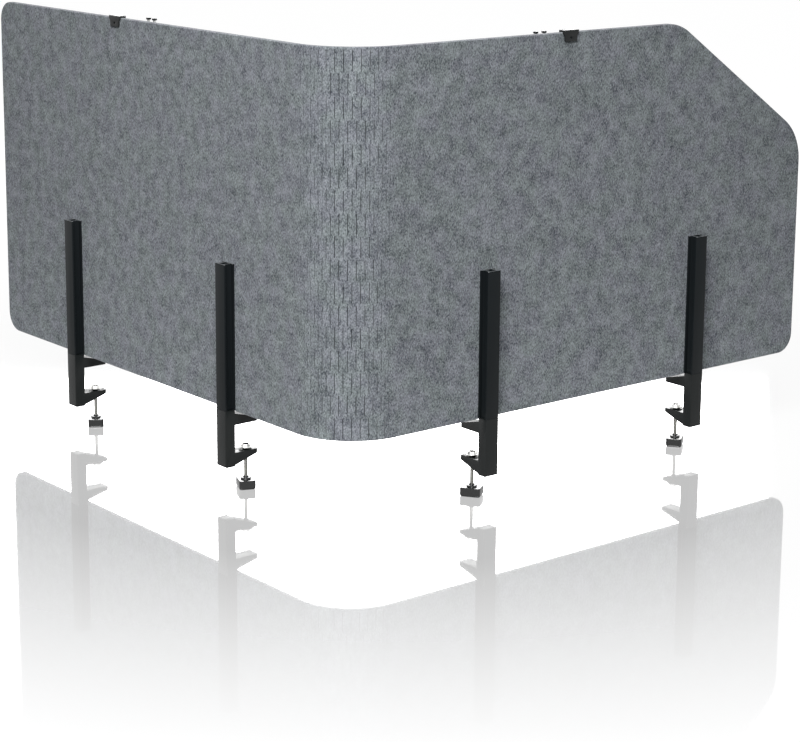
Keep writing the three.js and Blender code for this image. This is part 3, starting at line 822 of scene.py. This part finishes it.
def knob_rings():
    edge = [math.radians(90) * i / KNOB_EDGE_STEPS for i in range(KNOB_EDGE_STEPS + 1)]
    rings = [block_ring(KNOB_FOOT_EDGE * (1 - math.sin(a)), KNOB_FOOT_EDGE * (1 - math.cos(a))) for a in edge]
    rings += [block_ring(KNOB_EDGE * (1 - math.cos(a)), KNOB_HEIGHT - KNOB_EDGE * (1 - math.sin(a))) for a in edge]
    hub_top = KNOB_HEIGHT + HUB_HEIGHT
    collar_top = hub_top + COLLAR_HEIGHT
    section = [(HUB_RADIUS + 2 * SMALL_EASE, KNOB_HEIGHT), (HUB_RADIUS, KNOB_HEIGHT), (HUB_RADIUS, hub_top),
               (COLLAR_RADIUS, hub_top), (COLLAR_RADIUS, collar_top), (SOCKET_RADIUS, collar_top),
               (SOCKET_RADIUS, KNOB_FLOOR)]
    return rings + [round_ring(*point) for point in eased(section, SMALL_EASE)]


def stacked(rings):
    """Points and faces of a stack of rings, closed at its first and last ring."""
    count = len(rings[0])
    faces = [list(range(count)), [len(rings) * count - 1 - i for i in range(count)]]
    for level in range(len(rings) - 1):
        for i in range(count):
            a, b = level * count + i, level * count + (i + 1) % count
            faces.append([a, b, b + count, a + count])
    return [Vector(point) for ring in rings for point in ring], faces


for name in STATIONS:
    low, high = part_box(f"clamp_screw_{name}")
    turn = math.radians(KNOB_TURNS[name] + WING_TURNS[name.split("_")[0]])
    place = Matrix.Translation(((low.x + high.x) / 2, (low.y + high.y) / 2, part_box(f"knob_{name}")[0].z))
    points, faces = stacked(knob_rings())
    mesh = mesh_from(f"knob_{name}", [place @ Matrix.Rotation(turn, 4, "Z") @ point for point in points], faces)
    add_piece(f"knob_{name}_moulded", mesh, [glossy_nylon], f"knob_{name}")
print(len(mesh.polygons), "faces in a knob")

# %% [markdown]
# Screws from the desk side hold the felt to the posts. Their pan heads have a hexagon socket, which is what the eye
# looks for on a screw. The head is a stack of rings again, and the socket is a ring whose points lie on a hexagon.

# %% Fixing screws
FIXING_RADIUS = 2 * MM
HEAD_RADIUS = 4.5 * MM
HEAD_RIM = 0.9 * MM
SOCKET_FLATS = 2.5 * MM
SOCKET_FLOOR = 0.7 * MM
HEAD_HEIGHT = 2.4 * MM
HEAD_SHOULDER = 0.72
HEAD_DOME_DROP = 0.25 * MM
HEAD_EASE = 0.4 * MM
FIXING_SIDES = 48


def ring_of(radius, height, flats=None):
    """A circle of points, or a hexagon of that width across flats, with as many points."""
    ring = []
    for i in range(FIXING_SIDES):
        angle = 2 * math.pi * i / FIXING_SIDES
        off_flat = (angle + math.radians(30)) % math.radians(60) - math.radians(30)
        reach = radius if flats is None else flats / 2 / math.cos(off_flat)
        ring.append((reach * math.cos(angle), reach * math.sin(angle), height))
    return ring


def fixing_rings(length, head):
    """A screw standing on its tip, its head's top at length."""
    seat = length - head
    section = [(FIXING_RADIUS, 0), (FIXING_RADIUS, seat), (HEAD_RADIUS, seat), (HEAD_RADIUS, seat + HEAD_RIM),
               (HEAD_RADIUS * HEAD_SHOULDER, length - HEAD_DOME_DROP), (SOCKET_FLATS, length)]
    rings = [ring_of(*point) for point in eased(section, HEAD_EASE)]
    return [*rings, ring_of(0, length, SOCKET_FLATS), ring_of(0, seat + SOCKET_FLOOR, SOCKET_FLATS)]


for name in STATIONS:
    for level in ("lower", "upper"):
        node = f"fixing_screw_{level}_{name}"
        low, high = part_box(node)
        middle = (low + high) / 2
        if name.startswith("right"):
            tip, length = Vector((middle.x, low.y, middle.z)), high.y - low.y
            lay = Matrix.Rotation(math.radians(-90), 4, "X")
        else:
            tip, length = Vector((low.x, middle.y, middle.z)), high.x - low.x
            lay = Matrix.Rotation(math.radians(90), 4, "Y")
        points, faces = stacked(fixing_rings(length, HEAD_HEIGHT))
        mesh = mesh_from(node, [Matrix.Translation(tip) @ lay @ point for point in points], faces)
        add_piece(f"{node}_headed", mesh, [black_oxide_and_hollow_shade], node)

# %% [markdown]
# Each hook ends in two prongs that stand off behind the felt and turn up into soft caps. A prong is bent from round
# rod, so its section stays a circle all along the path. The frame says where it starts and ends. The caps are short
# pots with a rounded rim.

# %% Prongs and caps
PRONG_RADIUS = 2.5 * MM
PRONG_BEND = 14 * MM
PRONG_SIDES = 24
BEND_STEPS = 10
CAP_RADIUS = 4.25 * MM
CAP_WALL = 1.8 * MM
CAP_BORE = 2.8 * MM
CAP_SKIRT = 3.2 * MM
CAP_EASE = 1.0 * MM


def rod_mesh(name, path, radius, sides):
    """A round rod along a flat bent path."""
    flat_way = (path[1] - path[0]).cross(path[-1] - path[-2]).normalized()
    rings = []
    for i, point in enumerate(path):
        onward = (path[min(i + 1, len(path) - 1)] - path[max(i - 1, 0)]).normalized()
        side = onward.cross(flat_way)
        angles = [2 * math.pi * k / sides for k in range(sides)]
        rings.append([point + radius * (math.cos(a) * flat_way + math.sin(a) * side) for a in angles])
    return mesh_from(name, *stacked(rings))


for wing in ("left", "right"):
    for letter in "ab":
        node = f"hook_prong_{letter}_{wing}"
        low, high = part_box(node)
        middle = (low + high) / 2
        base, top = low.z + PRONG_RADIUS, high.z
        if wing == "right":
            start, reach, inward = Vector((middle.x, low.y, base)), high.y - PRONG_RADIUS - low.y, Vector((0, 1, 0))
        else:
            start, reach, inward = Vector((low.x, middle.y, base)), high.x - PRONG_RADIUS - low.x, Vector((1, 0, 0))
        bend = [Vector((0, 0)), Vector((reach, 0)), Vector((reach, top - base))]
        flat_path = [bend[0], *arc_round(*bend, PRONG_BEND, BEND_STEPS), bend[2]]
        path = [start + inward * point.x + Vector((0, 0, point.y)) for point in flat_path]
        add_piece(f"{node}_rod", rod_mesh(node, path, PRONG_RADIUS, PRONG_SIDES), [bright_zinc], node)

        node = f"prong_cap_{letter}_{wing}"
        low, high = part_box(node)
        height = high.z - low.z
        foot, ceiling = height - CAP_SKIRT, height - CAP_WALL
        section = [(0, ceiling), (CAP_BORE, ceiling), (CAP_BORE, foot), (CAP_RADIUS, foot), (CAP_RADIUS, height),
                   (0, height)]
        place = Vector(((low.x + high.x) / 2, (low.y + high.y) / 2, low.z))
        mesh = mesh_from(node, *spun(eased(section, CAP_EASE), place))
        add_piece(f"{node}_moulded", mesh, [grained_nylon], node)

# %% [markdown]
# The room is a photographer's white sweep. The world is plain white to the camera and to mirrors, but it lights the
# object at a softer level, so that the background can be white and the felt still mid grey. The floor is white and
# polished. It shows the object upside down, and the likeness fades with distance until the floor is plain white.
#
# A floor that is simply white would still turn grey far from the lamps. So to the eye it glows by itself, a little less
# near the object, and a faint matt layer on top of the glow takes the object's shade. To all other light it is matt.

# %% World and floor
SKY_LEVEL = 0.06
FLOOR_SIZE = 30.0
FLOOR_TO_LIGHT = "#707070"
FLOOR_SHADE_LAYER = "#5a5a5a"
GLOW_NEAR = 0.87
GLOW_FAR = 0.985
GLOW_START = 1.0
GLOW_END = 2.8
MIRROR_NEAR = 0.46
MIRROR_FADE_START = 0.8
MIRROR_FADE_END = 1.6
MIRROR_FADE_POWER = 1.3


def seen_directly(tree):
    """1 for what the camera sees, also in a mirror or through glass, and 0 for light that bounces off matt surfaces."""
    path = add(tree, "ShaderNodeLightPath", {}, {})
    straight = {0: path.outputs["Is Camera Ray"], 1: path.outputs["Is Glossy Ray"]}
    either = add(tree, "ShaderNodeMath", {"operation": "MAXIMUM"}, straight).outputs[0]
    through = {0: either, 1: path.outputs["Is Transmission Ray"]}
    return add(tree, "ShaderNodeMath", {"operation": "MAXIMUM"}, through).outputs[0]


world = bpy.data.worlds.new("white room")
bpy.context.scene.world = world
world.use_nodes = True
room = world.node_tree
room.nodes.clear()
level = {"Value": seen_directly(room), "To Min": SKY_LEVEL, "To Max": 1.0}
strength = add(room, "ShaderNodeMapRange", {}, level).outputs[0]
sky = add(room, "ShaderNodeBackground", {}, {"Color": linear("#ffffff"), "Strength": strength})
add(room, "ShaderNodeOutputWorld", {}, {"Surface": sky.outputs[0]})

sweep, tree = new_material("polished white floor")
away = {0: add(tree, "ShaderNodeTexCoord", {}, {}).outputs["Object"]}
distance = add(tree, "ShaderNodeVectorMath", {"operation": "LENGTH"}, away).outputs["Value"]
growth = {"Value": distance, "From Min": GLOW_START, "From Max": GLOW_END, "To Min": GLOW_NEAR, "To Max": GLOW_FAR}
strength = add(tree, "ShaderNodeMapRange", {}, growth).outputs[0]
glow = add(tree, "ShaderNodeEmission", {}, {"Color": linear("#ffffff"), "Strength": strength}).outputs[0]
layer = add(tree, "ShaderNodeBsdfDiffuse", {}, {"Color": linear(FLOOR_SHADE_LAYER)}).outputs[0]
bright = add(tree, "ShaderNodeAddShader", {}, {0: glow, 1: layer}).outputs[0]
matt = add(tree, "ShaderNodeBsdfDiffuse", {}, {"Color": linear(FLOOR_TO_LIGHT)}).outputs[0]
ground = add(tree, "ShaderNodeMixShader", {}, {0: seen_directly(tree), 1: matt, 2: bright}).outputs[0]
fade = {"Value": distance, "From Min": MIRROR_FADE_END, "From Max": MIRROR_FADE_START}
left_over = add(tree, "ShaderNodeMapRange", {}, fade).outputs[0]
curve = add(tree, "ShaderNodeMath", {"operation": "POWER"}, {0: left_over, 1: MIRROR_FADE_POWER}).outputs[0]
share = add(tree, "ShaderNodeMath", {"operation": "MULTIPLY"}, {0: curve, 1: MIRROR_NEAR}).outputs[0]
polish = {"Color": linear("#ffffff"), "Roughness": 0.03}
mirror = add(tree, "ShaderNodeBsdfGlossy", {}, polish).outputs[0]
both = add(tree, "ShaderNodeMixShader", {}, {0: share, 1: ground, 2: mirror}).outputs[0]
add(tree, "ShaderNodeOutputMaterial", {}, {"Surface": both})

half = FLOOR_SIZE / 2
floor_corners = [Vector((x, y, cad_box[0].z)) for x, y in ((-half, -half), (half, -half), (half, half), (-half, half))]
floor = bpy.data.objects.new("floor", mesh_from("floor", floor_corners, [[0, 1, 2, 3]]))
floor.data.materials.append(sweep)
bpy.context.scene.collection.objects.link(floor)

# %% [markdown]
# Most of the light that the camera sees comes from one large lamp, high above the outer corner. It meets the bend head
# on and both wings at a slant, which is what makes the bend the brightest part. A second lamp stands far behind, just
# above the camera's view. It lights the desk side, draws the bright line on the top edges, and fills the flat tops of
# the knobs and jaws, because a glossy surface seen at a low angle mirrors what stands behind it. Together with the
# room they light a surface that faces them at about the level at which its colour is written.

# %% Lamps
AIM = OUTER_CORNER + Vector((0.15, 0.15, 0.4))


def soft_lamp(name, place, wide, high, power):
    """A rectangular lamp at a place counted from the outer corner, looking at the aim."""
    lamp = bpy.data.lights.new(name, "AREA")
    lamp.shape, lamp.size, lamp.size_y, lamp.energy = "RECTANGLE", wide, high, power
    holder = bpy.data.objects.new(name, lamp)
    bpy.context.scene.collection.objects.link(holder)
    holder.location = OUTER_CORNER + Vector(place)
    holder.rotation_mode = "QUATERNION"
    holder.rotation_quaternion = (holder.location - AIM).to_track_quat("Z", "Y")


soft_lamp("corner lamp", (-1.7, -1.6, 3.4), 1.8, 1.8, 230)
soft_lamp("back lamp", (2.9, 3.6, 1.8), 3.0, 1.6, 120)
bpy.context.scene.view_settings.view_transform = "Standard"

# %% The last line
bpy.context.view_layer.update()
